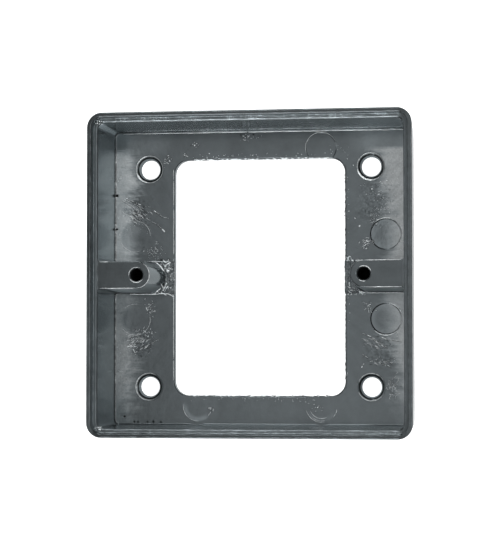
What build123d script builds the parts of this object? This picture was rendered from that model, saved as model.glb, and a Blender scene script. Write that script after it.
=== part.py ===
from build123d import *
import os

# Metal back box for one square wall plate, die-cast in one piece.
# It lies on its back: the back face is on Z = 0, the open rim points up,
# and the origin is the centre of the back face. Sizes in millimetres, angles in degrees.

# Outside of the casting
box_side = 86.0  # across the rim, both ways
box_depth = 25.0  # back face to rim
outer_corner_radius = 4.0  # at the rim
outer_draft = 2.5  # the outside narrows towards the back
back_edge_bevel = 0.6

# Rim, walls and floor
wall_thickness = 2.4  # at the ledge of the rim
lip_width = 1.3  # raised outer lip of the rim
lip_height = 2.8  # lip above the ledge that runs round inside it
rim_edge_bevel = 0.3
bevel_angle = 45.0
inner_corner_radius = 1.8  # at the ledge
inner_draft = 1.5  # the hollow narrows towards the floor
floor_thickness = 2.5
floor_fillet = 0.4

# Screw bosses for the wall plate, each the round end of a web from the side wall
screw_spacing = 60.3
screw_hole_diameter = 3.4
screw_mouth_diameter = 4.0
screw_mouth_angle = 90.0
screw_hole_depth = 16.0
boss_width = 7.3
boss_draft = 1.5
boss_edge_radius = 0.35
web_root_fillet = 0.6

# Cable opening in the floor
opening_width = 46.9
opening_height = 64.5
opening_corner_radius = 4.0
opening_edge_bevel = 0.3

# Gate pads, the low strips between each boss and the opening where the metal came in
gate_width = 9.0
gate_height = 0.25
gate_slope = 40.0

# Holes for fixing the box to the wall
fixing_spacing_x = 61.0
fixing_spacing_y = 59.7
fixing_hole_diameter = 5.3
fixing_mouth_diameter = 6.4
fixing_mouth_angle = 36.0
fixing_edge_bevel = 0.6

# Marks of the ejector pins in the floor, two beside each wall
pin_diameter = 8.5
pin_mark_depth = 0.15
pin_mark_slope = 55.0
side_pin_inset = 8.5  # pin centre from the rim's outside, left and right walls
side_pin_spread = 22.9
end_pin_inset = 7.9  # the same, top and bottom walls
end_pin_spread = 33.9

# Sizes that follow from those above
half_side = box_side / 2
inner_side = box_side - 2 * wall_thickness
rebate_side = box_side - 2 * lip_width
rebate_corner_radius = outer_corner_radius - lip_width
shoulder_level = box_depth - rim_edge_bevel
ledge_level = box_depth - lip_height
boss_top = ledge_level - rim_edge_bevel  # web tops start at the foot of the ledge's bevel
boss_height = boss_top - floor_thickness
screw_x = screw_spacing / 2
web_run = half_side - screw_x  # the web's far end lies inside the wall
gate_run = screw_x - opening_width / 2
side_pin_x = half_side - side_pin_inset
end_pin_y = half_side - end_pin_inset

rim_plane = Plane.XY.offset(box_depth)
shoulder_plane = Plane.XY.offset(shoulder_level)
ledge_plane = Plane.XY.offset(ledge_level)
boss_plane = Plane.XY.offset(boss_top)
floor_plane = Plane.XY.offset(floor_thickness)

# Plane, width, height, corner radius and bevel of each bevelled mouth
mouths = [
    (rim_plane, rebate_side, rebate_side, rebate_corner_radius, rim_edge_bevel),
    (ledge_plane, inner_side, inner_side, inner_corner_radius, rim_edge_bevel),
    (floor_plane, opening_width, opening_height, opening_corner_radius, opening_edge_bevel),
]

# The hollow: the space inside the box, with both webs left out of it
with BuildPart() as hollow:
    with BuildSketch(floor_plane):
        RectangleRounded(inner_side, inner_side, inner_corner_radius)
    extrude(amount=ledge_level - floor_thickness)
    draft(hollow.faces().filter_by(Axis.Z, reverse=True), ledge_plane, -inner_draft)
    with BuildSketch(boss_plane):
        with Locations((screw_x + web_run / 2, 0), (-screw_x - web_run / 2, 0)):
            SlotCenterToCenter(web_run, boss_width)
    extrude(amount=-boss_height, taper=-boss_draft, mode=Mode.SUBTRACT)

    # Round the outline of each boss top, but not the line where it meets the wall
    top_edges = hollow.edges().filter_by_position(Axis.Z, boss_top, boss_top)
    fillet(top_edges.sort_by(lambda edge: abs(edge.center().X))[:-2], boss_edge_radius)

    # Round the corners where the webs grow out of the walls, then all that meets the floor
    web_edges = hollow.edges().filter_by_position(Axis.Y, -boss_width, boss_width)
    upright_edges = web_edges.filter_by(Plane.XY, reverse=True).sort_by(SortBy.LENGTH)[-8:]
    fillet(upright_edges.sort_by(lambda edge: abs(edge.center().X))[-4:], web_root_fillet)
    fillet(hollow.edges().group_by(Axis.Z)[0], floor_fillet)

# The casting
with BuildPart() as back_box:
    # Drafted outside, widest just under the bevel of the rim
    with BuildSketch(shoulder_plane) as outline:
        RectangleRounded(box_side, box_side, outer_corner_radius)
    extrude(amount=rim_edge_bevel, taper=bevel_angle)
    extrude(outline.sketch, amount=-shoulder_level, taper=outer_draft)
    chamfer(back_box.edges().group_by(Axis.Z)[0], back_edge_bevel)

    # Stepped rim
    with BuildSketch(rim_plane):
        RectangleRounded(rebate_side, rebate_side, rebate_corner_radius)
    extrude(amount=-lip_height, mode=Mode.SUBTRACT)
    add(hollow.part, mode=Mode.SUBTRACT)

    # Gate pads
    with BuildSketch(floor_plane):
        with Locations((screw_x - gate_run / 2, 0), (gate_run / 2 - screw_x, 0)):
            Rectangle(gate_run, gate_width)
    extrude(amount=gate_height, taper=gate_slope)

    # Cable opening
    with BuildSketch(floor_plane):
        RectangleRounded(opening_width, opening_height, opening_corner_radius)
    extrude(amount=-floor_thickness, mode=Mode.SUBTRACT)

    # Bevelled mouths of the rebate, the hollow and the cable opening
    for plane, width, height, radius, bevel in mouths:
        with BuildSketch(plane):
            RectangleRounded(width + 2 * bevel, height + 2 * bevel, radius + bevel)
        extrude(amount=-bevel, taper=bevel_angle, mode=Mode.SUBTRACT)

    # Fixing holes
    with Locations(floor_plane):
        with GridLocations(fixing_spacing_x, fixing_spacing_y, 2, 2):
            CounterSinkHole(
                radius=fixing_hole_diameter / 2,
                counter_sink_radius=fixing_mouth_diameter / 2,
                counter_sink_angle=fixing_mouth_angle,
            )
    chamfer(back_box.edges(Select.LAST).group_by(Axis.Z)[-1], fixing_edge_bevel)

    # Screw holes
    with Locations(boss_plane):
        with GridLocations(screw_spacing, 0, 2, 1):
            CounterSinkHole(
                radius=screw_hole_diameter / 2,
                counter_sink_radius=screw_mouth_diameter / 2,
                depth=screw_hole_depth,
                counter_sink_angle=screw_mouth_angle,
            )

    # Ejector marks
    with BuildSketch(floor_plane):
        with GridLocations(2 * side_pin_x, side_pin_spread, 2, 2):
            Circle(pin_diameter / 2)
        with GridLocations(end_pin_spread, 2 * end_pin_y, 2, 2):
            Circle(pin_diameter / 2)
    extrude(amount=-pin_mark_depth, taper=pin_mark_slope, mode=Mode.SUBTRACT)

back_box.part.label = "back_box"

os.makedirs("parts", exist_ok=True)
export_step(back_box.part, "parts/back_box.step")
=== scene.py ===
import bmesh
import bpy
import math
from mathutils import Euler, Matrix, Vector, noise
from mathutils.geometry import interpolate_bezier
from random import Random


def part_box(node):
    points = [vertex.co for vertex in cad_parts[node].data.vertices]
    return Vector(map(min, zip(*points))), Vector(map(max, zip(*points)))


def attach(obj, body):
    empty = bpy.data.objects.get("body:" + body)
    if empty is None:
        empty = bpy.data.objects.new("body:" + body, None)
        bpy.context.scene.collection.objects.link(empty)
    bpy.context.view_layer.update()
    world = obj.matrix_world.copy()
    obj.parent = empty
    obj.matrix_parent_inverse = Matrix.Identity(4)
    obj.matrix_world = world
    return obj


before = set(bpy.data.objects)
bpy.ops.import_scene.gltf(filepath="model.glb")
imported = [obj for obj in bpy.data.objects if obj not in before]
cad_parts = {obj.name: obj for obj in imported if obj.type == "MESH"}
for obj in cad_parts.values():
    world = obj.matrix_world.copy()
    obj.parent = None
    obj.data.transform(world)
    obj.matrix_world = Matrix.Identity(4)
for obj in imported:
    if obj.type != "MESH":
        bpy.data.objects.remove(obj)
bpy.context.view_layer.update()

MM = 0.001
UP = Vector((0.0, 0.0, 1.0))
BOX_LOW, BOX_HIGH = (Vector(corner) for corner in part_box("back_box"))

# Camera of the photograph: its turn, and the centre of the rim as the camera sees it
IMAGE_HEIGHT = 541
SENSOR_MM = 36.0
FOCAL_PIXELS = 1940.9
CAMERA_TURN = (-0.0450, -0.1469, 0.0069)
RIM_FROM_CAMERA = Vector((-0.745, -0.8110, -506.206)) * MM

# Sizes of the casting in millimetres: its box is the frame's, and the rest follows the part's source
HALF_SIDE = round(BOX_HIGH.x / MM, 3)
RIM_LEVEL = round(BOX_HIGH.z / MM, 3)
RIM_BEVEL = 0.3
CORNER_RADIUS = 4.0
LIP_WIDTH = 1.3
LIP_HEIGHT = 2.8
WALL_THICKNESS = 2.4
CORNER_CENTRE = HALF_SIDE - CORNER_RADIUS
LIP_MOUTH = HALF_SIDE - LIP_WIDTH + RIM_BEVEL
HOLLOW_MOUTH = HALF_SIDE - WALL_THICKNESS + RIM_BEVEL
LEDGE_LEVEL = RIM_LEVEL - LIP_HEIGHT
FLOOR_LEVEL = 2.5
WALL_FOOT = 39.7
OPENING_X = 46.9 / 2
OPENING_Y = 64.5 / 2
OPENING_BEVEL = 0.3
SCREW_X = 60.3 / 2
SCREW_MOUTH_RADIUS = 2.0
BOSS_TOP = LEDGE_LEVEL - RIM_BEVEL
BOSS_HALF_WIDTH = 3.65
BOSS_FOOT_RADIUS = 4.25
PAD_HALF_WIDTH = 4.4
PAD_RISE = 0.25
FIXING_X = 61.0 / 2
FIXING_Y = 59.7 / 2
FIXING_RING_RADIUS = 3.7
FIXING_LINE_RADIUS = 3.2

# Marks of the ejector pins: beside the side walls, beside the end walls, and which are clear or faint
PIN_RADIUS = 4.25
SIDE_PIN_INSET = 8.5
END_PIN_INSET = 7.9
SIDE_PIN_X = HALF_SIDE - SIDE_PIN_INSET
SIDE_PIN_Y = 11.45
END_PIN_X = 16.95
END_PIN_Y = HALF_SIDE - END_PIN_INSET
CLEAR_PINS = [(SIDE_PIN_X, SIDE_PIN_Y), (SIDE_PIN_X, -SIDE_PIN_Y)]
FAINT_PINS = [
    (-SIDE_PIN_X, SIDE_PIN_Y),
    (-SIDE_PIN_X, -SIDE_PIN_Y),
    (-END_PIN_X, END_PIN_Y),
    (-END_PIN_X, -END_PIN_Y),
    (END_PIN_X, -END_PIN_Y),
]

# Where the molten metal spread from, on both sides of the middle
FLOW_SOURCE_X = 10.0

# Dark pits in the floor, their dark a painted shade: place, radius and raggedness
PITS = [
    (-39.6, 22.7, 0.5, 0.0),
    (-39.6, 13.4, 0.4, 0.5),
    (-1.6, 39.0, 0.4, 0.5),
    (-5.1, 39.0, 0.35, 0.5),
    (-27.2, 4.9, 0.4, 0.5),
    (-25.1, 4.9, 0.45, 0.5),
    (-37.4, -38.0, 0.42, 0.5),
    (-34.6, -39.4, 0.4, 0.5),
    (-33.6, -39.5, 0.36, 0.5),
    (-31.0, -39.5, 0.34, 0.5),
    (-29.3, -39.4, 0.4, 0.5),
    (-27.2, -39.5, 0.38, 0.5),
]

# Parts of the floor where the metal froze in coarse grains: centre and radius
COARSE_PATCHES = [
    (33.5, 20.0, 9.0),
    (-35.0, 18.0, 6.0),
    (-33.5, -18.5, 6.0),
    (33.5, -19.0, 6.5),
]

# Bluish grey of the casting and of its pale parts, as a share of their brightness
METAL_TINT = (0.88, 1.0, 1.055)
PALE_TINT = (0.95, 1.0, 1.015)

# Brightness of painted shade, nearly black, in bores, pits and the outlines of pin marks
SHADE_BLACK = 0.008


class Nodes:
    """A material, with short calls for building its shader tree."""

    def __init__(self, name):
        self.material = bpy.data.materials.new(name)
        self.material.use_nodes = True
        self.tree = self.material.node_tree
        self.shader = self.tree.nodes["Principled BSDF"]

    def put(self, name, value, node=None):
        """Set an input of the shader, or of another node, to a value, or link it to a socket."""
        target = (node or self.shader).inputs[name]
        if isinstance(value, bpy.types.NodeSocket):
            self.tree.links.new(value, target)
        else:
            target.default_value = value

    def add(self, kind, values, **settings):
        """A node with its settings made and each named input set or linked."""
        node = self.tree.nodes.new(kind)
        for name, value in settings.items():
            setattr(node, name, value)
        for name, value in values.items():
            self.put(name, value, node)
        return node

    def math(self, operation, *values):
        return self.add("ShaderNodeMath", dict(enumerate(values)), operation=operation).outputs[0]

    def times(self, product, *values):
        """The product of values, which also is the overlap of masks."""
        for value in values:
            product = self.math("MULTIPLY", product, value)
        return product

    def largest(self, most, *values):
        """The largest of values, which also is the union of masks."""
        for value in values:
            most = self.math("MAXIMUM", most, value)
        return most

    def shift(self, value, mask, amount):
        """A value moved by an amount where a mask is 1."""
        return self.math("MULTIPLY_ADD", mask, amount, value)

    def gain(self, value, mask, amount):
        """A value raised by a share of itself where a mask is 1."""
        return self.times(value, self.shift(1.0, mask, amount))

    def sway(self, texture, amount, value):
        """A value moved up and down by a texture."""
        return self.shift(value, self.math("SUBTRACT", texture, 0.5), amount)

    def step(self, value, low, high):
        """A smooth step from 0 at low to 1 at high."""
        values = {"Value": value, "From Min": low, "From Max": high}
        return self.add("ShaderNodeMapRange", values, interpolation_type="SMOOTHSTEP").outputs[0]

    def band(self, value, start, full, fading, end):
        """1 from full to fading, with a smooth step at each side."""
        return self.times(self.step(value, start, full), self.step(value, end, fading))

    def near(self, value, middle, end, full):
        """1 up to a distance, full, from a middle value, fading to 0 at another, end."""
        return self.step(self.math("ABSOLUTE", self.math("SUBTRACT", value, middle)), end, full)

    def blend(self, share, low, high):
        """Numbers blended from low to high."""
        return self.add("ShaderNodeMix", {0: share, 2: low, 3: high}).outputs[0]

    def blend_vectors(self, share, low, high):
        return self.add("ShaderNodeMix", {0: share, 4: low, 5: high}, data_type="VECTOR").outputs[1]

    def vector(self, x, y, z):
        return self.add("ShaderNodeCombineXYZ", {"X": x, "Y": y, "Z": z}).outputs[0]

    def scale(self, vector, factor):
        return self.add("ShaderNodeVectorMath", {0: vector, "Scale": factor}, operation="SCALE").outputs[0]

    def noise(self, place, scale, detail=4.0, roughness=0.55, distortion=0.0):
        values = {"Vector": place, "Scale": scale, "Detail": detail}
        values.update({"Roughness": roughness, "Distortion": distortion})
        return self.add("ShaderNodeTexNoise", values).outputs[0]

    def distance(self, x, y, centre):
        """How far a point, seen from the front, is from a centre."""
        across = self.math("SUBTRACT", x, centre[0])
        along = self.math("SUBTRACT", y, centre[1])
        return self.math("SQRT", self.math("ADD", self.times(across, across), self.times(along, along)))

    def coordinates(self):
        """Place on the object in millimetres, as a vector and as its three parts."""
        place = self.scale(self.add("ShaderNodeTexCoord", {}).outputs["Object"], 1 / MM)
        return place, *self.add("ShaderNodeSeparateXYZ", {0: place}).outputs

    def tint(self, level, paleness):
        """Send a brightness to the shader's base colour, tinted from the metal's grey to its pale one."""
        tint = self.blend_vectors(paleness, METAL_TINT, PALE_TINT)
        self.put("Base Color", self.scale(tint, level))

    def relief(self, height, strength, depth, **inputs):
        """Send a height to the shader as fine relief, with its depth in millimetres."""
        values = {"Height": height, "Strength": strength, "Distance": depth * MM, **inputs}
        self.put("Normal", self.add("ShaderNodeBump", values).outputs[0])


class CastMetal(Nodes):
    """Dark die-cast zinc: satin metal with flow streaks, pits, pale strips that are partly painted light,
    and painted shade and highlights in places, on edges among them.
    """

    def __init__(self, name):
        super().__init__(name)
        self.find_places()
        self.make_textures()
        self.mark_strips()
        self.mark_pits()
        self.mark_pins()
        self.mark_holes()
        self.mark_webs()
        self.mark_edges()
        level = self.paint_metal()
        level = self.paint_pins(level)
        level = self.paint_strips(level)
        level = self.paint_ledge(level)
        level = self.paint_right_rim(level)
        level = self.paint_edges(level)
        level = self.paint_holes(level)
        # The pale tint follows the strips of painted light
        self.tint(level, self.flow_and_light_strip)
        self.add_sheen()
        self.add_relief()

    def find_places(self):
        """Coordinates in millimetres, heights above the casting's levels, and masks of its main parts."""
        self.place, self.x, self.y, z = self.coordinates()
        self.above_floor = self.math("SUBTRACT", z, FLOOR_LEVEL)
        self.above_boss = self.math("SUBTRACT", z, BOSS_TOP)
        self.above_ledge = self.math("SUBTRACT", z, LEDGE_LEVEL)
        self.away_x = self.math("ABSOLUTE", self.x)
        self.away_y = self.math("ABSOLUTE", self.y)
        self.on_right = self.step(self.x, 0.0, 1.0)

        # How far out a point is, so that points at one distance lie on a square with the rim's round corners
        beyond_x = self.largest(self.math("SUBTRACT", self.away_x, CORNER_CENTRE), 0.0)
        beyond_y = self.largest(self.math("SUBTRACT", self.away_y, CORNER_CENTRE), 0.0)
        self.farthest = self.math("ADD", self.distance(beyond_x, beyond_y, (0.0, 0.0)), CORNER_CENTRE)

        within_walls = self.step(self.farthest, HOLLOW_MOUTH, HOLLOW_MOUTH - 0.2)
        self.inside = self.times(within_walls, self.step(self.above_floor, -1.3, -0.7))
        self.on_floor = self.times(self.inside, self.step(self.above_floor, 0.7, 0.4))
        self.in_front = self.step(self.farthest, HALF_SIDE - 0.1, HALF_SIDE - 0.25)
        self.on_lip = self.times(self.step(self.above_ledge, 0.4, 0.8), self.in_front)
        right_rim = self.times(self.step(self.x, 40.2, 40.5), self.step(self.above_boss, -0.4, -0.1))
        self.right_rim = self.times(right_rim, self.in_front)

    def make_textures(self):
        """Clouding at several sizes, streaks that run out from the flow sources, and feathers along X."""
        self.cloud = self.noise(self.place, 0.07, 3.0, 0.5, 0.5)
        self.mottle = self.noise(self.place, 0.45, 5.0, 0.62)
        self.grain = self.noise(self.place, 2.6, 4.0, 0.65)
        self.speck = self.noise(self.place, 1.8, 2.0, 0.6)

        # Each half of the casting has streaks of its own
        layer = self.times(self.math("SIGN", self.x), 7.3)
        angle = self.math("ARCTAN2", self.y, self.math("SUBTRACT", self.away_x, FLOW_SOURCE_X))
        run = self.distance(self.away_x, self.y, (FLOW_SOURCE_X, 0.0))
        wide_place = self.vector(self.times(angle, 9.0), self.times(run, 0.09), layer)
        self.wide_streak = self.noise(wide_place, 1.0, 5.0, 0.62, 0.4)
        fine_place = self.vector(self.times(angle, 46.0), self.times(run, 0.28), layer)
        self.fine_streak = self.noise(fine_place, 1.0, 3.0, 0.6, 0.3)
        feather_place = self.vector(self.times(self.x, 0.12), self.times(self.y, 0.85), layer)
        self.feather = self.noise(feather_place, 1.0, 5.0, 0.7, 0.3)

    def mark_strips(self):
        """Pale strips beside the left and right walls: painted light bounced off the walls onto the floor,
        mixed with flow streaks, feathered away from them.
        """
        x, y = self.x, self.y
        side_pin = (SIDE_PIN_X, SIDE_PIN_Y)
        self.in_side_pin = self.step(self.distance(self.away_x, self.away_y, side_pin), 4.4, 4.0)
        ragged = self.sway(self.wide_streak, self.blend(self.in_side_pin, 8.0, 2.0), self.away_x)
        ragged = self.sway(self.feather, self.blend(self.in_side_pin, 10.0, 3.0), ragged)

        # The right one is wider at the top, and narrower at the bottom and in the upper pin mark
        top_right = self.times(self.on_right, self.step(y, 22.0, 32.0))
        ragged = self.shift(ragged, top_right, 2.6)
        lower_right = self.times(self.on_right, self.step(y, -6.0, -30.0))
        ragged = self.shift(ragged, lower_right, -2.8)
        upper_right_pin = self.times(self.on_right, self.step(self.distance(x, y, side_pin), 4.3, 4.0))
        ragged = self.shift(ragged, upper_right_pin, -1.0)
        flow_and_light_strip = self.step(ragged, 32.0, 38.5)

        # Both fade at their ends, the left one more softly at the top
        left_top = self.step(self.sway(self.feather, 7.0, y), 36.5, 32.5)
        right_top = self.step(y, 35.5, 34.3)
        flow_and_light_strip = self.times(flow_and_light_strip, self.blend(self.on_right, left_top, right_top))
        foot = self.step(self.sway(self.mottle, 8.0, y), -40.0, -26.0)
        flow_and_light_strip = self.times(flow_and_light_strip, self.blend(foot, 0.35, 1.0))

        # They are weaker below the webs, in the left pin marks and in the lower right corner
        below_web = self.step(self.distance(self.away_x, y, (36.0, -8.0)), 8.0, 3.0)
        flow_and_light_strip = self.gain(flow_and_light_strip, below_web, -0.3)
        lower_left_pin = self.step(self.distance(x, y, (-SIDE_PIN_X, -SIDE_PIN_Y)), 4.6, 2.6)
        flow_and_light_strip = self.gain(flow_and_light_strip, lower_left_pin, -0.7)
        upper_left_pin = self.step(self.distance(x, y, (-SIDE_PIN_X, SIDE_PIN_Y)), 4.4, 3.4)
        flow_and_light_strip = self.gain(flow_and_light_strip, upper_left_pin, -0.36)
        low_corner = self.times(self.on_right, self.step(y, -30.0, -36.0))
        flow_and_light_strip = self.gain(flow_and_light_strip, low_corner, -0.6)
        self.flow_and_light_strip = self.times(flow_and_light_strip, self.on_floor)

    def mark_pits(self):
        """Pits, and the parts of the floor with coarse grains."""
        pits = []
        for pit_x, pit_y, radius, raggedness in PITS:
            away = self.sway(self.grain, raggedness, self.distance(self.x, self.y, (pit_x, pit_y)))
            pits.append(self.step(away, radius, radius / 2))
        self.pit = self.times(self.largest(*pits), self.on_floor)
        patches = []
        for patch_x, patch_y, radius in COARSE_PATCHES:
            away = self.sway(self.wide_streak, 6.0, self.distance(self.x, self.y, (patch_x, patch_y)))
            patches.append(self.step(away, radius, radius * 0.4))
        self.coarse = self.times(self.largest(*patches), self.on_floor)

    def mark_pins(self):
        """Clear ejector marks, with painted highlight inside and a painted shadow line on the side of the
        opening, and faint marks.
        """
        rings = []
        lines = []
        for centre in CLEAR_PINS:
            away = self.distance(self.x, self.y, centre)
            rings.append(self.band(away, 2.2, 3.8, 3.9, 4.1))
            towards_opening = self.step(self.math("SUBTRACT", self.x, centre[0]), 1.5, -2.0)
            lines.append(self.times(self.near(away, PIN_RADIUS - 0.1, 0.26, 0.1), towards_opening))
        self.pin_highlight_ring = self.times(self.largest(*rings), self.on_floor)
        self.pin_shadow_line = self.times(self.largest(*lines), self.on_floor, self.step(self.mottle, 0.2, 0.5))
        faint = [self.step(self.distance(self.x, self.y, centre), 5.2, 4.9) for centre in FAINT_PINS]
        self.faint_pin = self.times(self.largest(*faint), self.on_floor)

    def mark_holes(self):
        """Walls, bevels and dark lines of the fixing holes, dark screw holes, and feet of the side walls:
        painted light on the walls and bevels, painted shade in the rest.
        """
        fixing = self.distance(self.away_x, self.away_y, (FIXING_X, FIXING_Y))
        fixing_line = self.near(fixing, FIXING_LINE_RADIUS, 0.2, 0.1)
        fixing_line = self.times(fixing_line, self.step(self.above_floor, -0.1, -0.3))
        fixing_wall = self.step(fixing, 3.02, 2.95)
        self.fixing_wall = self.times(fixing_wall, self.step(self.above_floor, -0.3, -0.5))
        fixing_bevel = self.band(fixing, 3.4, 3.5, 3.75, 3.85)
        self.fixing_bevel = self.times(fixing_bevel, self.step(self.above_floor, -0.8, -0.7))
        self.from_screw = self.distance(self.away_x, self.y, (SCREW_X, 0.0))
        screw_bore = self.step(self.from_screw, 1.85, 1.75)
        screw_bore = self.times(screw_bore, self.step(self.above_boss, -0.2, -0.4))
        self.bore_shade = self.largest(fixing_line, screw_bore)
        foot = self.step(self.away_x, WALL_FOOT - 0.1, WALL_FOOT + 0.1)
        foot = self.times(foot, self.step(self.above_floor, 0.9, 0.4))
        foot = self.times(foot, self.inside, self.step(self.mottle, 0.25, 0.55))
        self.wall_foot_shade = self.times(foot, self.step(self.y, 39.0, 36.5))

    def mark_webs(self):
        """Fronts of the bosses and sides of the webs."""
        upright = self.times(self.step(self.above_boss, -0.4, -0.6), self.step(self.above_floor, 0.4, 0.7))
        past_screw = self.step(self.away_x, SCREW_X - 0.3, SCREW_X + 0.3)
        from_middle = self.blend(past_screw, self.from_screw, self.away_y)
        upright = self.times(upright, self.inside, self.step(from_middle, 4.7, 4.5))
        before_screw = self.step(self.away_x, SCREW_X + 0.3, SCREW_X - 0.3)
        self.boss_front = self.times(upright, before_screw, self.step(self.away_y, 2.7, 2.0))
        self.web_side = self.math("SUBTRACT", upright, self.boss_front)

    def mark_edges(self):
        """Edges, where bright painted highlights go, and a normal that is rounded at them."""
        true_normal = self.add("ShaderNodeNewGeometry", {}).outputs["Normal"]
        rounded = self.add("ShaderNodeBevel", {"Radius": 0.25 * MM}, samples=6).outputs[0]
        facing = self.add("ShaderNodeVectorMath", {0: rounded, 1: true_normal}, operation="DOT_PRODUCT")
        edge = self.step(facing.outputs["Value"], 0.995, 0.93)
        edge = self.times(edge, self.math("SUBTRACT", 1.0, self.faint_pin))
        self.edge = self.times(edge, self.step(self.mottle, 0.3, 0.7))

        # The faint pin marks look flat, and the fronts of the bosses lean a little more than they do
        rounded = self.blend_vectors(self.faint_pin, rounded, UP)
        leaning = self.blend_vectors(self.times(self.boss_front, 0.09), rounded, UP)
        self.normal = self.add("ShaderNodeVectorMath", {0: leaning}, operation="NORMALIZE").outputs[0]

    def paint_metal(self):
        """Brightness of the bare casting: floor, web tops, rim and walls."""
        x, y = self.x, self.y
        level = self.sway(self.cloud, 0.028, 0.06)
        level = self.sway(self.mottle, 0.028, level)
        level = self.sway(self.wide_streak, 0.028, level)
        level = self.sway(self.grain, 0.017, level)
        level = self.sway(self.speck, self.times(self.coarse, 0.15), level)

        # Painted shade makes web tops and rim darker, the lip most; painted reflection makes the lip less
        # dark on its right and not dark at its lower left
        raised = self.times(self.step(self.above_boss, -0.7, -0.2), self.in_front)
        level = self.times(level, self.blend(raised, 1.0, 0.7))
        lip_share = self.blend(self.step(x, 41.2, 41.6), 0.6, 0.87)
        lower_left_lip = self.times(self.step(x, -40.8, -41.4), self.step(y, 10.0, -20.0))
        lip_share = self.blend(lower_left_lip, lip_share, 1.3)
        level = self.times(level, self.blend(self.on_lip, 1.0, lip_share))

        # Walls are brighter, painted light reflected off the floor, most of all the left one above its web
        on_wall = self.times(self.step(self.farthest, 39.4, 39.8), self.step(self.above_floor, 0.7, 1.7))
        on_wall = self.times(on_wall, self.inside, self.step(self.above_boss, -0.1, -0.4))
        left_wall = self.times(self.step(x, -39.0, -39.6), self.band(y, -6.0, 2.0, 27.0, 33.0))
        level = self.gain(level, on_wall, self.shift(0.9, left_wall, 0.75))

        # The floor along the top wall is darker in the middle, a painted shadow of the wall, and brighter at
        # both ends, painted light
        top_strip = self.times(self.step(y, OPENING_Y + 0.25, 36.0), self.on_floor)
        top_share = self.blend(self.step(self.away_x, 22.0, 30.0), 0.86, 1.45)
        return self.times(level, self.blend(top_strip, 1.0, top_share))

    def paint_pins(self, level):
        """Painted highlights in the marks: pale rings in the clear ones, lighter with streaks that fan out
        in the upper right one, and two crescents.
        """
        x, y = self.x, self.y
        level = self.blend(self.times(self.pin_highlight_ring, 0.45), level, 0.12)
        fan_x, fan_y = (34.0, 16.2)
        fan_angle = self.math("ARCTAN2", self.math("SUBTRACT", x, fan_x), self.math("SUBTRACT", fan_y, y))
        fan = self.noise(self.vector(self.times(fan_angle, 9.0), self.times(y, 0.4), 0.0), 1.0, 3.0, 0.6)
        upper_pin = self.times(self.in_side_pin, self.on_right, self.step(y, 0.0, 1.0))
        level = self.shift(level, upper_pin, 0.012)
        level = self.sway(fan, self.times(upper_pin, self.on_floor, 0.13), level)

        # Crescents of painted highlight at the bottom marks: at the lower left of the left one, and below
        # the right one
        from_pin = self.distance(self.away_x, y, (END_PIN_X, -END_PIN_Y))
        highlight_crescent = self.band(from_pin, 2.4, 3.6, 4.0, 4.3)
        at_left = self.step(self.shift(y, x, 0.5), -43.6, -46.0)
        at_right = self.times(self.step(y, -36.0, -38.0), 0.4)
        highlight_crescent = self.times(highlight_crescent, self.blend(self.on_right, at_left, at_right), self.on_floor)
        return self.shift(level, self.times(highlight_crescent, self.mottle), 0.09)

    def paint_strips(self, level):
        """The pale strips, painted light with flow streaks, palest at the upper left."""
        palest = self.times(self.step(self.x, 0.0, -1.0), self.step(self.y, -2.0, 8.0))
        pale = self.shift(0.2, palest, 0.115)
        pale = self.sway(self.fine_streak, 0.14, pale)
        pale = self.sway(self.grain, 0.22, pale)
        return self.blend(self.flow_and_light_strip, level, pale)

    def paint_ledge(self, level):
        """The rim's ledge, brighter on the left as painted light, with long painted glints and sparkle at
        its top and bottom.
        """
        on_ledge = self.step(self.farthest, LIP_MOUTH, LIP_MOUTH - 0.1)
        on_ledge = self.times(on_ledge, self.band(self.above_ledge, -0.15, -0.05, 0.2, 0.3))
        left_ledge_light = self.times(on_ledge, self.step(self.x, -39.0, -40.0))
        level = self.gain(level, left_ledge_light, 0.75)
        end_ledge = self.step(self.math("SUBTRACT", self.away_y, self.away_x), 0.5, 3.0)
        end_ledge = self.times(on_ledge, end_ledge)
        at_top = self.step(self.y, -1.0, 1.0)
        glint_place = self.vector(self.times(self.x, 0.16), self.times(self.y, 2.6), 0.0)
        glint = self.step(self.noise(glint_place, 1.0, 4.0, 0.6), 0.52, 0.72)
        glint = self.blend(glint, self.sway(self.grain, 0.05, 0.06), self.blend(at_top, 0.18, 0.28))
        level = self.blend(end_ledge, level, glint)
        sparkle = self.times(self.step(self.grain, 0.46, 0.62), self.step(self.mottle, 0.47, 0.57))
        sparkle = self.times(sparkle, self.blend(at_top, 0.25, 0.6))
        return self.blend(self.times(sparkle, end_ledge), level, 0.4)

    def paint_right_rim(self, level):
        """The rim's right side, which is dull and even, with painted light that makes it lighter."""
        right_light_share = self.blend(self.on_lip, 1.75, 1.4)
        return self.times(level, self.blend(self.right_rim, 1.0, right_light_share))

    def paint_edges(self, level):
        """The opening's dark right edge, painted highlights on edges, and a painted highlight as a bright
        streak in the inner top left corner.
        """
        x, y = self.x, self.y
        ragged = self.step(self.sway(self.grain, 0.8, x), OPENING_X + 0.5, OPENING_X + 0.25)
        right_edge = self.times(self.step(x, OPENING_X - 0.1, OPENING_X), self.step(self.away_y, 31.0, 29.0))
        right_edge = self.times(right_edge, ragged, self.step(self.mottle, 0.35, 0.55))
        level = self.blend(right_edge, level, 0.012)
        # Bevelled edges lightened as painted highlights
        level = self.blend(self.times(self.edge, 0.6), level, 0.25)
        # A painted highlight on the rounded inner top left corner
        corner_highlight = self.step(self.math("MINIMUM", self.times(x, -1.0), y), 39.1, 39.5)
        corner_highlight = self.times(corner_highlight, self.inside, self.step(self.above_floor, 0.5, 1.5))
        corner_highlight = self.times(corner_highlight, self.step(self.above_boss, -0.1, -0.5))
        return self.blend(corner_highlight, level, 0.45)

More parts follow.
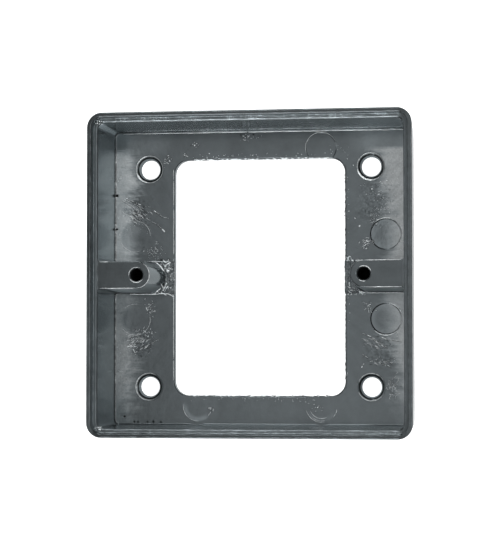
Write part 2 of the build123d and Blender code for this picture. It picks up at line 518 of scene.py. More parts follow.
    def paint_holes(self, level):
        """Fixing holes and web sides lightened with painted light, and painted shade, nearly black, in
        bores, pits, pin outlines and wall feet.
        """
        # Painted light on the walls and bevels of the fixing holes
        level = self.blend(self.fixing_wall, level, 0.26)
        level = self.blend(self.fixing_bevel, level, 0.13)
        # Painted light on the sides of the webs, more on the left
        web_level = self.blend(self.step(self.x, -34.0, -29.0), 0.3, 0.15)
        level = self.blend(self.times(self.web_side, self.step(self.x, -39.2, -37.6)), level, web_level)
        # Painted shade in the crease at the feet of the side walls
        level = self.blend(self.times(self.wall_foot_shade, 0.75), level, 0.015)
        # Painted shade, nearly black, in pin outlines, pits and bores
        level = self.blend(self.times(self.pin_shadow_line, 0.9), level, SHADE_BLACK)
        return self.blend(self.largest(self.pit, self.bore_shade), level, SHADE_BLACK)

    def add_sheen(self):
        """Satin, smoother on the boss fronts and duller where the photo is."""
        self.put("Metallic", 0.6)
        self.put("Specular IOR Level", 0.28)
        self.put("Specular Tint", (0.88, 0.97, 1.0, 1.0))
        roughness = self.sway(self.mottle, 0.16, 0.15)
        roughness = self.blend(self.boss_front, roughness, 0.09)
        roughness = self.blend(self.web_side, roughness, 0.4)
        roughness = self.blend(self.right_rim, roughness, 0.5)
        roughness = self.blend(self.largest(self.fixing_wall, self.fixing_bevel), roughness, 0.6)
        roughness = self.shift(roughness, self.flow_and_light_strip, 0.1)
        roughness = self.blend(self.largest(self.pit, self.bore_shade), roughness, 0.7)
        self.put("Roughness", roughness)

    def add_relief(self):
        """Orange peel, streaks, coarse grains and pits."""
        height = self.shift(self.mottle, self.grain, 0.35)
        height = self.shift(height, self.fine_streak, 0.5)
        height = self.shift(height, self.times(self.coarse, self.speck), 1.6)
        height = self.shift(height, self.pit, -2.0)
        self.relief(height, 0.5, 0.05, Normal=self.normal)


def flash_metal(name, brightness):
    """Bare broken zinc, mottled; brighter than the casting in the lit copy, which is partly a painted
    highlight, and darker in the shaded copies, which are painted shade.
    """
    nodes = Nodes(name)
    place = nodes.coordinates()[0]
    mottle = nodes.noise(place, 1.4, 4.0, 0.6)
    grain = nodes.noise(place, 9.0, 3.0, 0.6)
    level = nodes.times(nodes.sway(grain, 0.6, nodes.sway(mottle, 1.0, 1.0)), brightness)
    nodes.tint(level, 1.0)
    nodes.put("Metallic", 0.1)
    nodes.put("Roughness", nodes.sway(grain, 0.2, 0.22))
    nodes.relief(grain, 0.4, 0.03)
    return nodes.material


def crust_metal(name, dark, rarity):
    """Torn zinc of a gate scar: dark, with bright specks placed by noise as painted glints."""
    nodes = Nodes(name)
    place = nodes.coordinates()[0]
    patch = nodes.noise(place, 0.9, 3.0, 0.6)
    speck = nodes.noise(place, 4.6, 3.0, 0.6)
    bright = nodes.step(nodes.sway(patch, 0.5, speck), rarity, rarity + 0.2)
    nodes.tint(nodes.blend(bright, nodes.sway(speck, dark * 3.0, dark), 0.6), bright)
    nodes.put("Metallic", 0.5)
    nodes.put("Roughness", nodes.blend(bright, 0.3, 0.2))
    nodes.relief(speck, 0.6, 0.05)
    return nodes.material


def add_piece(name, mesh_data, material):
    """Make a piece of the casting from mesh data in millimetres."""
    bmesh.ops.scale(mesh_data, vec=(MM, MM, MM), verts=mesh_data.verts)
    bmesh.ops.recalc_face_normals(mesh_data, faces=mesh_data.faces)
    mesh = bpy.data.meshes.new(name)
    mesh_data.to_mesh(mesh)
    mesh_data.free()
    mesh.materials.append(material)
    piece = bpy.data.objects.new(name, mesh)
    bpy.context.scene.collection.objects.link(piece)
    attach(piece, "root")


def smooth_path(points, step):
    """Points about a step apart on a smooth curve through the given ones."""
    knots = [Vector(point) for point in points]
    padded = [knots[0], *knots, knots[-1]]
    path = []
    for before, start, end, after in zip(padded, padded[1:], padded[2:], padded[3:]):
        count = max(3, math.ceil((end - start).length / step) + 1)
        leave = start + (end - before) / 6
        arrive = end - (after - start) / 6
        path.extend(interpolate_bezier(start, leave, arrive, end, count)[:-1])
    return [*path, knots[-1]]


def add_ridge(mesh_data, path, width, height, chance):
    """A ragged ridge of flash along a path, tapered at its ends, with its foot sunk into the metal."""
    section = [(-1.0, -0.4), (-0.75, 0.7), (0.0, 1.0), (0.75, 0.7), (1.0, -0.4)]
    last = len(path) - 1
    rings = []
    for index, point in enumerate(path):
        along = (path[min(index + 1, last)] - path[max(index - 1, 0)]).normalized()
        across = along.cross(UP)
        taper = min(1.0, 0.25 + 3.0 * min(index, last - index) / last)
        half = width / 2 * taper * chance.uniform(0.65, 1.2)
        rise = height * taper * chance.uniform(0.4, 1.1)
        lean = chance.uniform(-0.35, 0.35)
        ring = []
        for side, level in section:
            place = point + across * half * (side + lean * max(level, 0.0)) + UP * rise * level
            ring.append(mesh_data.verts.new(place))
        rings.append(ring)
    for ring, following in zip(rings, rings[1:]):
        for index in range(len(section)):
            after = (index + 1) % len(section)
            mesh_data.faces.new((ring[index], ring[after], following[after], following[index]))
    mesh_data.faces.new(rings[0])
    mesh_data.faces.new(rings[-1])


def add_crumb(mesh_data, place, size, chance):
    """An angular crumb of metal, half sunk."""
    turn = Euler([chance.uniform(0.0, math.tau) for axis in range(3)]).to_matrix().to_4x4()
    stretch = Matrix.Diagonal((size, size * chance.uniform(0.4, 0.9), size * chance.uniform(0.4, 0.8), 1.0))
    matrix = Matrix.Translation(place) @ turn @ stretch
    made = bmesh.ops.create_icosphere(mesh_data, subdivisions=1, radius=0.5, matrix=matrix)
    for vert in made["verts"]:
        vert.co += Vector([chance.uniform(-0.12, 0.12) for axis in range(3)]) * size


def add_gate_scar(name, side, seed, material):
    """The broken gate between a boss and the cable opening: a rough crust with a ragged edge."""
    step = 0.12
    columns = 52
    rows = 84
    reach = step * rows / 2
    first_x = OPENING_X - 0.36
    last_x = 28.6
    crust_height = 0.26
    roughest = 2.2

    def corner(column, row):
        x = first_x + column * step
        y = row * step - reach
        rough = noise.ridged_multi_fractal((x * 0.9 + seed, y * 0.9, seed), 0.7, 2.2, 4, 1.0, 2.0)
        pad = FLOOR_LEVEL + PAD_RISE * min(1.0, max(0.0, (PAD_HALF_WIDTH - abs(y)) / 0.3))
        edge = min(1.0, max(0.15, (PAD_HALF_WIDTH + 0.5 - abs(y)) / 0.8))
        return Vector((side * x, y, pad + 0.02 + crust_height * edge * min(rough, roughest)))

    def kept(column, row):
        x, y = corner(column + 0.5, row + 0.5).xy
        bite = noise.noise((y * 0.8, seed, 1.7)) + 0.6 * noise.noise((y * 2.9, seed, 5.1))
        inner_edge = OPENING_X - 0.1 - 0.12 * bite
        outer_edge = PAD_HALF_WIDTH + 0.2 + 0.4 * noise.noise((x * 0.9, y * 0.3, seed))
        off_boss = math.hypot(abs(x) - SCREW_X, y) > BOSS_FOOT_RADIUS
        return inner_edge < abs(x) < last_x and abs(y) < outer_edge and off_boss

    mesh_data = bmesh.new()
    cells = {(column, row) for column in range(columns) for row in range(rows) if kept(column, row)}
    tops = {}
    feet = {}

    for column, row in sorted(cells):
        keys = [(column, row), (column + 1, row), (column + 1, row + 1), (column, row + 1)]
        for key in keys:
            if key not in tops:
                place = corner(*key)
                tops[key] = mesh_data.verts.new(place)
                feet[key] = mesh_data.verts.new((place.x, place.y, FLOOR_LEVEL - 0.1))
        mesh_data.faces.new([tops[key] for key in keys])
        mesh_data.faces.new([feet[key] for key in reversed(keys)])
        beside = [(column, row - 1), (column + 1, row), (column, row + 1), (column - 1, row)]
        for index, neighbour in enumerate(beside):
            if neighbour not in cells:
                first = keys[index]
                second = keys[(index + 1) % 4]
                mesh_data.faces.new((tops[second], tops[first], feet[first], feet[second]))
    add_piece(name, mesh_data, material)


def add_slivers(material):
    """Bright slivers of flash on the gate scars and along the feet of the webs, with loose curls."""
    chance = Random(11)
    mesh_data = bmesh.new()
    crust = FLOOR_LEVEL + PAD_RISE
    foot = FLOOR_LEVEL + 0.1
    slivers = [
        ([(-26.1, 2.6), (-25.75, 3.4), (-25.0, 3.9), (-24.3, 4.1)], 0.55, 0.9, crust),
        ([(-26.6, 4.5), (-26.0, 4.3), (-25.5, 3.9)], 0.5, 0.7, crust),
        ([(-25.8, 2.5), (-25.3, 2.0), (-24.8, 1.75)], 0.5, 0.8, crust),
        ([(-25.4, -0.9), (-25.85, -2.1), (-26.3, -3.4)], 0.45, 0.8, crust),
        ([(-27.1, -4.0), (-26.3, -3.3), (-25.4, -3.6)], 0.45, 0.6, crust),
        ([(-24.3, 1.0), (-24.5, 0.1), (-24.2, -0.8)], 0.3, 0.5, crust),
        ([(-36.0, -4.5), (-33.6, -4.5), (-32.2, -4.5)], 0.2, 0.2, foot),
        ([(-33.4, -4.5), (-30.0, -4.5), (-27.6, -4.45)], 0.3, 0.3, foot),
        ([(-28.6, -4.45), (-25.6, -4.35), (-24.8, -4.6), (-23.6, -5.3)], 0.36, 0.45, foot),
        ([(-30.6, 4.45), (-28.8, 4.45), (-26.9, 4.4), (-25.9, 4.4)], 0.26, 0.3, foot),
        ([(23.8, 5.3), (24.3, 5.0), (24.7, 5.5), (25.05, 5.2)], 0.32, 0.7, foot),
        ([(25.2, 4.5), (25.5, 4.3), (25.9, 4.15)], 0.6, 1.0, crust),
        ([(26.1, 4.15), (26.6, 4.35), (27.4, 4.55)], 0.36, 0.7, crust),
        ([(24.55, -1.3), (24.65, -2.0), (24.7, -2.7)], 0.45, 0.9, crust),
        ([(24.1, -3.8), (25.2, -3.7), (26.4, -3.8)], 0.3, 0.6, crust),
        ([(26.5, -3.9), (27.3, -3.8), (28.1, -4.2), (29.0, -4.4)], 0.36, 0.6, crust),
        ([(26.9, -3.2), (27.3, -3.8), (27.5, -4.7)], 0.4, 0.7, crust),
        ([(28.0, -4.45), (33.0, -4.4), (39.2, -4.4)], 0.24, 0.3, foot),
        ([(-27.0, 13.4), (-26.6, 13.0), (-26.2, 12.6)], 0.4, 0.3, FLOOR_LEVEL),
    ]
    for points, width, height, level in slivers:
        path = smooth_path([(x, y, level) for x, y in points], 0.16)
        add_ridge(mesh_data, path, width * 0.8, height, chance)

    # Three more that lean on the left boss
    leaning = [
        [(-29.0, 4.35, 2.7), (-27.45, 3.35, 3.9), (-26.15, 1.7, 3.5)],
        [(-27.1, -2.8, 3.5), (-28.9, -4.3, 2.7)],
        [(-26.45, -1.8, 6.6), (-26.35, -2.6, 4.6), (-26.35, -3.4, 2.8)],
    ]
    for points in leaning:
        add_ridge(mesh_data, smooth_path(points, 0.16), 0.42, 0.4, chance)

    # Centre, reach and count of each cluster of curls
    clusters = [
        ((-26.2, 3.3), (2.0, 1.1), 16),
        ((-26.8, -3.2), (1.7, 1.2), 16),
        ((-24.7, 0.0), (0.8, 4.2), 9),
        ((24.8, 4.6), (1.2, 0.6), 3),
        ((24.5, -2.4), (0.6, 1.4), 5),
        ((26.4, -4.0), (1.7, 0.5), 6),
        ((24.0, 0.5), (0.4, 4.5), 5),
    ]
    for centre, reach, count in clusters:
        for index in range(count):
            middle = Vector((*centre, crust))
            middle.x += chance.uniform(-1.0, 1.0) * reach[0]
            middle.y += chance.uniform(-1.0, 1.0) * reach[1]
            angle = chance.uniform(0.0, math.tau)
            along = Vector((math.cos(angle), math.sin(angle), 0.0)) * chance.uniform(0.3, 0.8)
            bend = along.cross(UP) * chance.uniform(-0.7, 0.7)
            width = chance.uniform(0.18, 0.3)
            path = smooth_path([middle - along, middle + bend, middle + along], 0.14)
            if min(math.hypot(abs(point.x) - SCREW_X, point.y) for point in path) > BOSS_FOOT_RADIUS:
                add_ridge(mesh_data, path, width, chance.uniform(0.3, 0.6), chance)
    add_piece("gate_slivers", mesh_data, material)


def add_ripples(glint, bright, dark):
    """Fine raised lines where the metal froze in creases: the clear ones, then loose ones round them."""
    chance = Random(23)
    glint_mesh = bmesh.new()
    bright_mesh = bmesh.new()
    shadow_mesh = bmesh.new()
    lines = [
        [(-37.5, 21.6), (-32.2, 19.1)],
        [(-37.0, 21.9), (-33.0, 20.1)],
        [(-38.1, 21.4), (-33.6, 18.6)],
        [(-29.7, 18.7), (-28.3, 17.8), (-26.9, 16.8), (-25.2, 16.3)],
        [(-29.9, 15.4), (-28.3, 14.6), (-27.1, 13.5), (-26.2, 12.7)],
        [(-34.5, -20.6), (-31.3, -18.7), (-28.0, -17.0)],
        [(-36.1, -18.3), (-34.6, -17.1), (-32.4, -16.0)],
        [(-36.1, -18.8), (-33.8, -17.7), (-31.4, -16.7)],
        [(-36.6, -16.7), (-34.9, -16.0), (-33.0, -15.6)],
        [(-35.0, -19.5), (-34.3, -21.1)],
        [(28.1, -15.3), (30.8, -16.5), (33.2, -18.2), (35.1, -19.4)],
        [(31.0, -17.0), (34.8, -19.6)],
        [(34.3, -16.8), (38.7, -17.6)],
        [(28.1, -21.0), (29.6, -22.0)],
        [(27.8, -24.6), (28.6, -23.3)],
        [(31.7, -22.4), (32.7, -23.3)],
        [(33.3, -22.5), (34.8, -23.2), (36.6, -23.3)],
        [(34.8, -23.9), (36.1, -24.8)],
    ]
    for points in lines:
        path = smooth_path([(x, y, FLOOR_LEVEL) for x, y in points], 0.2)
        while len(path) > 2:
            length = chance.randint(3, 7)
            mesh_data = chance.choice((glint_mesh, bright_mesh, bright_mesh, bright_mesh))
            add_ridge(mesh_data, path[:length], chance.uniform(0.12, 0.2), 0.1, chance)
            path = path[length + chance.randint(-1, 2):]
        # A nearly black ridge beside each clear line, painted shade on its shaded side
        beside = smooth_path([(x - 0.1, y - 0.16, FLOOR_LEVEL) for x, y in points], 0.2)
        add_ridge(shadow_mesh, beside, 0.14, 0.04, chance)

    # Centre, reach, heading and its spread in degrees, longest line and count of each patch of loose lines
    patches = [
        ((-34.0, 17.2), (3.2, 2.2), -33.0, 14.0, 1.8, 70),
        ((-29.4, 7.2), (2.4, 1.5), -30.0, 60.0, 0.55, 44),
        ((-28.6, 9.6), (0.7, 0.5), -20.0, 40.0, 0.5, 6),
        ((-33.6, -18.0), (3.6, 2.4), 30.0, 12.0, 2.0, 40),
        ((-30.3, -8.9), (1.5, 2.4), 40.0, 60.0, 0.6, 44),
        ((-31.5, -15.2), (2.8, 1.6), 35.0, 50.0, 0.6, 50),
        ((32.0, -18.0), (3.8, 2.4), -32.0, 12.0, 2.0, 30),
        ((33.0, -23.4), (3.4, 1.2), -15.0, 40.0, 1.0, 28),
        ((29.2, 8.8), (2.0, 1.4), 15.0, 40.0, 1.0, 36),
        ((29.9, -8.2), (1.3, 1.4), 45.0, 50.0, 0.9, 20),
        ((33.4, 20.5), (2.6, 6.0), -60.0, 60.0, 0.5, 90),
        ((31.2, 15.6), (1.4, 2.4), 50.0, 40.0, 0.45, 44),
        ((-25.8, 32.4), (1.4, 1.8), -50.0, 40.0, 0.6, 26),
        ((36.4, -30.4), (1.8, 4.4), 60.0, 50.0, 1.0, 80),
        ((-20.3, 33.4), (0.8, 0.5), -40.0, 50.0, 0.6, 12),
        ((-18.0, 36.4), (1.8, 0.9), 30.0, 60.0, 0.45, 16),
        ((15.6, -34.8), (2.6, 2.0), 40.0, 30.0, 0.5, 14),
        ((-13.4, -36.4), (1.0, 1.6), 60.0, 40.0, 0.5, 14),
        ((-2.6, 38.4), (2.6, 0.8), 5.0, 25.0, 0.8, 14),
    ]
    for centre, reach, heading, spread, longest, count in patches:
        for index in range(count):
            angle = math.radians(heading + chance.gauss(0.0, spread))
            along = Vector((math.cos(angle), math.sin(angle), 0.0)) * longest * chance.uniform(0.15, 0.5)
            bend = along.cross(UP) * chance.uniform(-0.4, 0.4)
            middle = Vector((*centre, FLOOR_LEVEL))
            middle.x += chance.gauss(0.0, 0.5) * reach[0]
            middle.y += chance.gauss(0.0, 0.5) * reach[1]
            points = [middle - along, middle + bend, middle + along]
            # Loose lines are spread over the lit, shaded and nearly black copies of the flash metal, for
            # painted highlight and shade
            mesh_data = chance.choices((glint_mesh, bright_mesh, shadow_mesh), (1, 6, 3))[0]
            width = chance.uniform(0.08, 0.17)
            height = chance.uniform(0.05, 0.1)
            if max(max(abs(point.x), abs(point.y)) for point in points) < WALL_FOOT - 0.5:
                add_ridge(mesh_data, smooth_path(points, 0.2), width, height, chance)
    add_piece("flow_glints", glint_mesh, glint)
    add_piece("flow_ripples", bright_mesh, bright)
    add_piece("flow_crease_shadows", shadow_mesh, dark)


def add_arc(mesh_data, arc, chance):
    """A ragged ridge along an arc: centre, level, radius, first and last angle, width and height."""
    x, y, level, radius, first, last, width, height = arc
    count = int((last - first) / 4)
    path = []
    for index in range(count + 1):
        angle = math.radians(first + (last - first) * index / count)
        path.append(Vector((x + radius * math.cos(angle), y + radius * math.sin(angle), level)))
    add_ridge(mesh_data, path, width, height, chance)


def add_rings(bright, shaded):
    """Ragged rims round the fixing holes, the screw holes and the marks of the ejector pins, in the lit copy
    of the flash metal as painted highlight where light falls, and in the shaded copy elsewhere.
    """
    chance = Random(37)
    fixing_rim = (FLOOR_LEVEL, FIXING_RING_RADIUS)
    pin_rim = (FLOOR_LEVEL, PIN_RADIUS)
    screw_rim = (BOSS_TOP, SCREW_MOUTH_RADIUS)
    bright_arcs = [
        (-FIXING_X, FIXING_Y, *fixing_rim, 100, 160, 0.24, 0.14),
        (-FIXING_X, FIXING_Y, *fixing_rim, 192, 260, 0.5, 0.28),
        (FIXING_X, FIXING_Y, *fixing_rim, 190, 290, 0.5, 0.28),
        (FIXING_X, FIXING_Y, *fixing_rim, 88, 130, 0.22, 0.12),
        (-FIXING_X, -FIXING_Y, *fixing_rim, 130, 165, 0.2, 0.12),
        (SIDE_PIN_X, SIDE_PIN_Y, FLOOR_LEVEL, PIN_RADIUS + 0.1, 60, 135, 0.2, 0.12),
        (SIDE_PIN_X, -SIDE_PIN_Y, FLOOR_LEVEL, PIN_RADIUS + 0.1, 20, 80, 0.2, 0.12),
        (SIDE_PIN_X, -SIDE_PIN_Y, FLOOR_LEVEL, PIN_RADIUS + 0.15, 225, 310, 0.3, 0.2),
    ]
    shaded_arcs = [
        (-FIXING_X, FIXING_Y, *fixing_rim, 0, 360, 0.2, 0.08),
        (FIXING_X, FIXING_Y, *fixing_rim, 0, 360, 0.2, 0.08),
        (-FIXING_X, -FIXING_Y, *fixing_rim, 60, 290, 0.26, 0.1),
        (FIXING_X, -FIXING_Y, *fixing_rim, 30, 160, 0.22, 0.08),
        (FIXING_X, -FIXING_Y, *fixing_rim, 200, 330, 0.26, 0.1),
        (SIDE_PIN_X, SIDE_PIN_Y, *pin_rim, -60, 50, 0.14, 0.06),
        (SIDE_PIN_X, -SIDE_PIN_Y, *pin_rim, -40, 20, 0.14, 0.06),
        (-SIDE_PIN_X, SIDE_PIN_Y, *pin_rim, 0, 100, 0.14, 0.06),
        (-SIDE_PIN_X, SIDE_PIN_Y, *pin_rim, 205, 290, 0.1, 0.03),
        (-SIDE_PIN_X, -SIDE_PIN_Y, *pin_rim, 75, 130, 0.08, 0.02),
        (-SIDE_PIN_X, -SIDE_PIN_Y, *pin_rim, 215, 290, 0.14, 0.06),
        (-SIDE_PIN_X, -SIDE_PIN_Y, *pin_rim, 300, 380, 0.1, 0.05),
        (END_PIN_X, END_PIN_Y, *pin_rim, 20, 200, 0.14, 0.06),
        (END_PIN_X, -END_PIN_Y, *pin_rim, 195, 282, 0.12, 0.05),
        (END_PIN_X, -END_PIN_Y, *pin_rim, 318, 350, 0.1, 0.04),
        (END_PIN_X, -END_PIN_Y, FLOOR_LEVEL, PIN_RADIUS - 0.35, 225, 285, 0.1, 0.05),
        (-END_PIN_X, -END_PIN_Y, FLOOR_LEVEL, PIN_RADIUS - 0.2, 172, 230, 0.12, 0.05),
        (-END_PIN_X, -END_PIN_Y, FLOOR_LEVEL, PIN_RADIUS - 0.2, 234, 275, 0.1, 0.05),
        (-END_PIN_X, -END_PIN_Y, FLOOR_LEVEL, PIN_RADIUS - 0.4, 318, 340, 0.12, 0.04),
        (END_PIN_X, -END_PIN_Y, FLOOR_LEVEL, PIN_RADIUS - 1.0, 200, 295, 0.12, 0.05),
        (SCREW_X, 0.0, *screw_rim, 20, 125, 0.24, 0.08),
        (SCREW_X, 0.0, *screw_rim, 232, 285, 0.2, 0.06),
        (-SCREW_X, 0.0, *screw_rim, 215, 325, 0.22, 0.08),
        (-SCREW_X, 0.0, *screw_rim, 60, 190, 0.12, 0.05),
    ]
    for name, material, arcs in (("bright_rims", bright, bright_arcs), ("shaded_rims", shaded, shaded_arcs)):
        mesh_data = bmesh.new()
        for arc in arcs:
            add_arc(mesh_data, arc, chance)
        add_piece(name, mesh_data, material)


def add_web_edges(material):
    """Ridges along the top edges of the webs, in the shaded copy of the flash metal, lighter than the
    casting as painted highlight.
    """
    chance = Random(43)
    mesh_data = bmesh.new()
    side = BOSS_HALF_WIDTH - 0.15
    level = BOSS_TOP - 0.08
    root = 40.2

    # Start, end and side of each straight run
    runs = [
        (-root, -30.2, -side),
        (-root, -37.6, side),
        (30.6, root, -side),
        (30.2, root, side),
    ]
    for start, end, y in runs:
        path = smooth_path([(start, y, level), (end, y, level)], 0.3)
        add_ridge(mesh_data, path, 0.2, 0.1, chance)
    add_arc(mesh_data, (-SCREW_X, 0.0, level, side, -90, 60, 0.18, 0.09), chance)
    add_arc(mesh_data, (SCREW_X, 0.0, level, side, 90, 125, 0.18, 0.09), chance)
    add_piece("web_edges", mesh_data, material)


def add_edge_burrs(bright, shaded, dark):
    """Burrs along the edges of the cable opening and the foot of the top wall."""
    chance = Random(53)
    level = FLOOR_LEVEL - OPENING_BEVEL / 2
    left_line = -OPENING_X - OPENING_BEVEL
    top = ((-19.0, OPENING_Y, level), (19.0, OPENING_Y, level))
    right = ((OPENING_X, -28.0, level), (OPENING_X, 28.0, level))
    bottom = ((-19.0, -OPENING_Y, level), (19.0, -OPENING_Y, level))
    left = ((left_line, -29.0, FLOOR_LEVEL), (left_line, 29.0, FLOOR_LEVEL))
    seam_start = ((-38.0, WALL_FOOT, FLOOR_LEVEL), (-32.0, WALL_FOOT, FLOOR_LEVEL))
    seam = ((-33.0, WALL_FOOT, FLOOR_LEVEL), (38.5, WALL_FOOT, FLOOR_LEVEL))

    # The lit copy gives painted highlights, the shaded and the nearly black copies painted shade, the
    # darkest on the right and bottom edges
    # Name, material and rows of each piece: run, count, longest, sideways scatter, width and height
    pieces = [
        ("bright_burrs", bright, [(top, 90, 0.9, 0.16, 0.24, 0.26), (right, 46, 0.6, 0.1, 0.2, 0.22),
                                  (bottom, 70, 0.8, 0.14, 0.22, 0.22), (seam, 70, 6.0, 0.03, 0.1, 0.09)]),
        ("shaded_burrs", shaded, [(left, 40, 5.0, 0.03, 0.18, 0.1), (seam_start, 12, 3.0, 0.03, 0.1, 0.09)]),
        ("shadow_burrs", dark, [(right, 120, 0.4, 0.14, 0.2, 0.16), (bottom, 30, 0.8, 0.14, 0.22, 0.22)]),
    ]
    for name, material, rows in pieces:
        mesh_data = bmesh.new()
        for (start, end), count, longest, scatter, width, height in rows:
            start = Vector(start)
            run = Vector(end) - start
            across = run.normalized().cross(UP)
            for index in range(count):
                middle = start + run * chance.random() + across * scatter * chance.uniform(-1.0, 1.0)
                half = run.normalized() * chance.uniform(0.15, 0.5) * longest
                path = smooth_path([middle - half, middle, middle + half], 0.15)
                add_ridge(mesh_data, path, width, height * chance.uniform(0.4, 1.0), chance)
        add_piece(name, mesh_data, material)


def add_grit(material):
    """Crumbs of metal left on the floor near the gates, the opening and the holes."""
    chance = Random(71)
    mesh_data = bmesh.new()
    ledge_corner = 40.7

    # Centre, reach, count and largest crumb of each cluster
    clusters = [
        ((-24.6, 0.0), (1.0, 5.0), 60, 0.34),
        ((24.4, 0.5), (0.9, 5.4), 60, 0.36),
        ((26.6, -4.2), (2.4, 0.8), 26, 0.34),
        ((0.0, 33.0), (20.0, 0.8), 60, 0.24),
        ((0.0, -33.0), (20.0, 0.7), 40, 0.2),
        ((24.1, 0.0), (0.5, 28.0), 26, 0.2),
        ((29.5, 23.0), (2.2, 2.2), 12, 0.26),
        ((34.5, 22.0), (3.4, 7.0), 40, 0.13),
        ((22.0, 33.6), (3.0, 2.0), 14, 0.22),
        ((-28.9, 6.9), (2.2, 1.8), 26, 0.15),
        ((-34.0, 16.0), (4.0, 4.0), 40, 0.16),
        ((-33.0, -18.0), (5.0, 4.0), 40, 0.16),
        ((33.0, -19.0), (4.5, 5.0), 36, 0.18),
        ((-2.5, 38.4), (3.4, 1.2), 12, 0.14),
    ]

    # Place and size of each single flake
    flakes = [
        (30.8, 23.7, 0.5),
        (29.3, 22.3, 0.5),
        (27.4, 13.7, 0.5),
        (26.2, 15.8, 0.45),
        (25.7, 30.2, 0.5),
        (-20.3, 33.3, 0.3),
        (-20.7, 34.0, 0.3),
        (-13.8, 34.0, 0.3),
    ]
    for x, y, size in flakes:
        add_crumb(mesh_data, Vector((x, y, FLOOR_LEVEL)), size, chance)
    for corner_y in (ledge_corner, -ledge_corner):
        for index in range(16):
            place = Vector((-ledge_corner, corner_y, LEDGE_LEVEL))
            place.x += chance.uniform(-0.7, 1.2)
            place.y += chance.uniform(-0.5, 0.5)
            add_crumb(mesh_data, place, chance.uniform(0.12, 0.4), chance)
    for centre, reach, count, largest in clusters:
        for index in range(count):
            x = centre[0] + chance.uniform(-1.0, 1.0) * reach[0]
            y = centre[1] + chance.uniform(-1.0, 1.0) * reach[1]
            inside_opening = abs(x) < OPENING_X + OPENING_BEVEL and abs(y) < OPENING_Y + OPENING_BEVEL
            in_boss = math.hypot(abs(x) - SCREW_X, y) < BOSS_FOOT_RADIUS
            if inside_opening or in_boss or abs(y) > WALL_FOOT - 0.2:
                continue
            on_pad = abs(y) < PAD_HALF_WIDTH and abs(x) < SCREW_X
            place = Vector((x, y, FLOOR_LEVEL + PAD_RISE * on_pad + 0.03))
            add_crumb(mesh_data, place, largest * chance.uniform(0.4, 1.0), chance)
    add_piece("casting_grit", mesh_data, material)


def add_camera():
    """Look down into the box from the photograph's angle."""
    camera_data = bpy.data.cameras.new("camera")
    camera_data.sensor_width = SENSOR_MM
    camera_data.lens = FOCAL_PIXELS / IMAGE_HEIGHT * SENSOR_MM
    camera = bpy.data.objects.new("camera", camera_data)
    bpy.context.scene.collection.objects.link(camera)
    rim_centre = Vector((0.0, 0.0, BOX_HIGH.z))
    to_world = Euler(CAMERA_TURN, "XYZ").to_matrix().transposed()
    camera.matrix_world = Matrix.Translation(rim_centre - to_world @ RIM_FROM_CAMERA) @ to_world.to_4x4()
    bpy.context.scene.camera = camera


def add_floor():
    """A plain white floor that stays white in view and still takes a soft shadow."""
    half = 2.0
    mesh = bpy.data.meshes.new("floor")
    corners = [(-half, -half, 0.0), (half, -half, 0.0), (half, half, 0.0), (-half, half, 0.0)]
    mesh.from_pydata(corners, [], [(0, 1, 2, 3)])
    floor = bpy.data.objects.new("floor", mesh)
    floor.location.z = BOX_LOW.z
    bpy.context.scene.collection.objects.link(floor)
    nodes = Nodes("floor_white")
    nodes.put("Base Color", (0.8, 0.8, 0.8, 1.0))
    nodes.put("Roughness", 0.9)
    nodes.put("Specular IOR Level", 0.0)
    nodes.put("Emission Color", (1.0, 1.0, 1.0, 1.0))
    path = nodes.add("ShaderNodeLightPath", {})
    seen = nodes.largest(path.outputs["Is Camera Ray"], path.outputs["Is Transmission Ray"])
    mirrored = nodes.times(path.outputs["Is Glossy Ray"], 0.22)
    nodes.put("Emission Strength", nodes.largest(nodes.times(seen, 0.8), mirrored))
    mesh.materials.append(nodes.material)


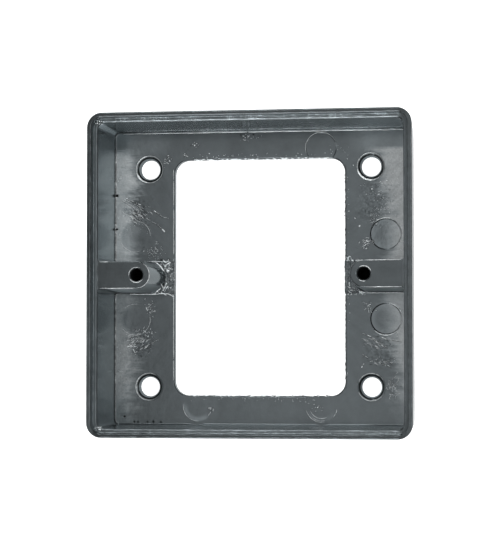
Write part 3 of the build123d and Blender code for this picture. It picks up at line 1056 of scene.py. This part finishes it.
def add_panel(name, azimuth, elevation, distance, width, height, power):
    """A soft light panel that faces the box, placed by its angles in degrees."""
    light_data = bpy.data.lights.new(name, "AREA")
    light_data.shape = "RECTANGLE"
    light_data.size = width
    light_data.size_y = height
    light_data.energy = power
    light = bpy.data.objects.new(name, light_data)
    turn = Euler((0.0, -math.radians(elevation), math.radians(azimuth)), "XYZ").to_matrix()
    light.location = turn @ Vector((distance, 0.0, 0.0))
    light.rotation_euler = light.location.to_track_quat("Z", "Y").to_euler()
    bpy.context.scene.collection.objects.link(light)


def add_lights():
    """Even white surroundings and five soft panels."""
    world = bpy.data.worlds.new("studio")
    world.use_nodes = True
    background = world.node_tree.nodes["Background"]
    background.inputs["Color"].default_value = (1.0, 1.0, 1.0, 1.0)
    background.inputs["Strength"].default_value = 0.36
    bpy.context.scene.world = world

    # Azimuth, elevation, distance, width, height and power of each panel
    add_panel("overhead_panel", 5.0, 77.0, 1.2, 1.2, 1.2, 8.3)
    add_panel("front_panel", -98.0, 24.0, 1.0, 0.3, 0.55, 9.0)
    add_panel("back_panel", 98.0, 24.0, 1.0, 0.3, 0.55, 8.0)
    add_panel("right_panel", 3.0, 33.0, 1.0, 0.35, 0.3, 2.6)
    add_panel("left_panel", 172.0, 35.0, 1.0, 0.35, 0.25, 1.8)


cast = CastMetal("cast_metal").material
# Lit and shaded copies of the flash metal: painted highlight and painted shade on the small pieces
flash = flash_metal("flash_metal", 1.0)
shaded_flash = flash_metal("shaded_flash_metal", 0.45)
shadow_flash = flash_metal("shadow_flash_metal", 0.02)
left_crust = crust_metal("left_crust_metal", 0.07, 0.56)
right_crust = crust_metal("right_crust_metal", 0.09, 0.62)
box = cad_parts["back_box"]
box.data.materials.clear()
box.data.materials.append(cast)
add_gate_scar("gate_scar_left", -1.0, 3.1, left_crust)
add_gate_scar("gate_scar_right", 1.0, 8.6, right_crust)
add_slivers(flash)
add_ripples(flash, shaded_flash, shadow_flash)
add_rings(flash, shaded_flash)
add_web_edges(shaded_flash)
add_edge_burrs(flash, shaded_flash, shadow_flash)
add_grit(flash)

add_floor()
add_lights()
add_camera()
bpy.context.scene.view_settings.view_transform = "Standard"
